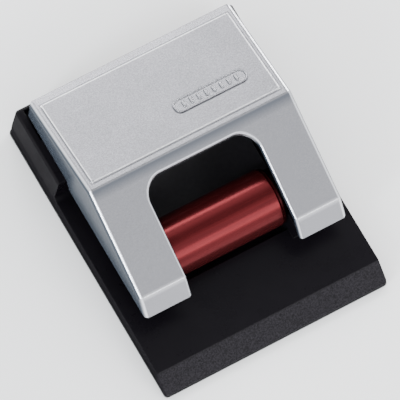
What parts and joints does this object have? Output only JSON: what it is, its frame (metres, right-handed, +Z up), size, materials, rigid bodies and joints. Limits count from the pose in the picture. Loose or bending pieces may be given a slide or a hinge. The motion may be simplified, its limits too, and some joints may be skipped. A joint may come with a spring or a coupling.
{
  "type": "magnetic roller dispenser",
  "caption": "Desktop dispenser: a silver wedge cover with a U-shaped finger doorway hinges over a black stepped base, and a red magnetic roller spins in the doorway to bring up clips.",
  "frame": {"origin": "centre of the footprint of the whole object, on the table surface", "axes": "+Z up, -Y towards the user, +X to the user's right; the longest side runs along Y"},
  "size_m": [0.09, 0.1124, 0.0389],
  "materials": {
    "cover_silver": "metallic silver paint over plastic, satin",
    "emblem_silver": "metallic silver plastic, satin",
    "tray_black": "moulded black plastic, fine spark-eroded grain, glossy edges",
    "plate_black": "black painted sheet steel",
    "roller_red": "deep red gloss with a metallic sheen",
    "cap_red": "deep red gloss with a metallic sheen, darker than the tube",
    "bush_brass": "turned brass",
    "core_steel": "bright steel",
    "magnet_grey": "pressed ferrite, matt dark grey",
    "axle_steel": "ground steel",
    "clip_steel": "blackened spring steel",
    "screw_black": "black oxide steel",
    "post_black": "moulded black plastic",
    "scoop_black": "moulded black plastic, smooth",
    "pad_rubber": "soft rubber"
  },
  "bodies": {
    "base": {"base_tray": "tray_black", "bottom_plate": "plate_black", "base_screw_1": "screw_black", "base_screw_2": "screw_black", "base_screw_3": "screw_black", "base_screw_4": "screw_black", "rubber_pad_1": "pad_rubber", "rubber_pad_2": "pad_rubber", "rubber_pad_3": "pad_rubber", "rubber_pad_4": "pad_rubber", "bearing_post_left": "post_black", "bearing_post_right": "post_black", "post_screw_left_1": "screw_black", "post_screw_left_2": "screw_black", "post_screw_right_1": "screw_black", "post_screw_right_2": "screw_black", "roller_axle": "axle_steel", "axle_clip_left": "clip_steel", "axle_clip_right": "clip_steel", "spacer_left": "post_black", "spacer_right": "post_black", "clip_scoop": "scoop_black", "hinge_pin_left": "axle_steel", "hinge_pin_right": "axle_steel"},
    "roller": {"roller_tube": "roller_red", "roller_cap_left": "cap_red", "roller_cap_right": "cap_red", "bush_left": "bush_brass", "bush_right": "bush_brass", "magnet_core": "core_steel", "magnet_bar_1": "magnet_grey", "magnet_bar_2": "magnet_grey", "magnet_bar_3": "magnet_grey", "magnet_bar_4": "magnet_grey"},
    "cover": {"cover": "cover_silver", "emblem": "emblem_silver"}
  },
  "joints": [
    {"name": "roller_spin", "type": "hinge", "parent": "base", "child": "roller", "pos_m": [0, -0.01196, 0.0142], "axis": [1, 0, 0], "continuous": true},
    {"name": "cover_hinge", "type": "hinge", "parent": "base", "child": "cover", "pos_m": [0, 0.0483, 0.0234], "axis": [-1, 0, 0], "range_deg": [0, 65]}
  ]
}
